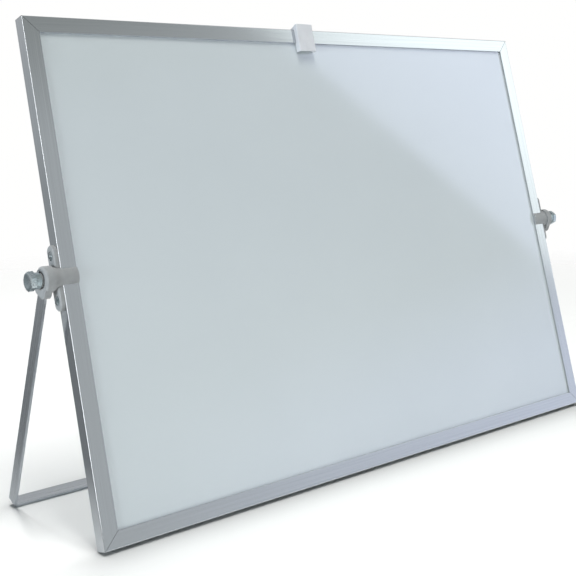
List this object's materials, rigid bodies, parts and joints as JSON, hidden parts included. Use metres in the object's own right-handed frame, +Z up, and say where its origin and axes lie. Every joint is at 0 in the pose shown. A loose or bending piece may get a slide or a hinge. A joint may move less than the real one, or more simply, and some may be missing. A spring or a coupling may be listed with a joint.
{
  "type": "magnetic desk whiteboard easel",
  "caption": "Double-sided magnetic whiteboard in a mitred metal frame, pivoting on two bolted friction hinges in a bent-strip stand, with a sliding catch clip on its top rail.",
  "frame": {"origin": "on the desk, under the middle of the easel's bounding box", "axes": "+X along the board to its right seen from the front, +Y to the back where the stand's foot is, +Z up"},
  "size_m": [0.4566, 0.1032, 0.2948],
  "materials": {
    "frame": "satin",
    "keys": "matte",
    "writing_face": "gloss",
    "core": "matte",
    "moulding": "satin",
    "zinc_steel": "satin",
    "friction_ring": "matte",
    "strip": "satin",
    "clip": "satin"
  },
  "bodies": {
    "board": {"top_rail": "frame", "bottom_rail": "frame", "right_stile": "frame", "left_stile": "frame", "corner_keys": "keys", "front_sheet": "writing_face", "core_panel": "core", "back_sheet": "writing_face", "right_bracket": "moulding", "left_bracket": "moulding", "bracket_screws": "zinc_steel", "captive_nuts": "zinc_steel", "friction_rings": "friction_ring"},
    "stand": {"stand_strip": "strip", "right_knuckle": "moulding", "left_knuckle": "moulding"},
    "right_washers": {"right_flat_washer": "zinc_steel", "right_spring_washer": "zinc_steel"},
    "right_bolt": {"right_pivot_bolt": "zinc_steel"},
    "left_washers": {"left_flat_washer": "zinc_steel", "left_spring_washer": "zinc_steel"},
    "left_bolt": {"left_pivot_bolt": "zinc_steel"},
    "clip": {"top_clip": "clip"}
  },
  "joints": [
    {"name": "stand_swing", "type": "hinge", "parent": "board", "child": "stand", "pos_m": [0, -0.006, 0.14531], "axis": [1, 0, 0], "range_deg": [-212, 141.9]},
    {"name": "right_bolt_travel", "type": "slide", "parent": "board", "child": "right_washers", "axis": [1, 0, 0], "range_m": [0, 0.0063]},
    {"name": "right_bolt_turn", "type": "hinge", "parent": "right_washers", "child": "right_bolt", "pos_m": [0.2263, -0.006, 0.14531], "axis": [1, 0, 0], "range_deg": [0, 2268.5]},
    {"name": "left_bolt_travel", "type": "slide", "parent": "board", "child": "left_washers", "axis": [-1, 0, 0], "range_m": [0, 0.0063]},
    {"name": "left_bolt_turn", "type": "hinge", "parent": "left_washers", "child": "left_bolt", "pos_m": [-0.2263, -0.006, 0.14531], "axis": [-1, 0, 0], "range_deg": [0, 2268.5]},
    {"name": "clip_slide", "type": "slide", "parent": "board", "child": "clip", "axis": [1, 0, 0], "range_m": [-0.1864, 0.1998]}
  ],
  "couplings": [
    {"joint": "right_bolt_turn", "follows": "right_bolt_travel", "rad_per_m": 6283.2},
    {"joint": "left_bolt_turn", "follows": "left_bolt_travel", "rad_per_m": 6283.2}
  ]
}
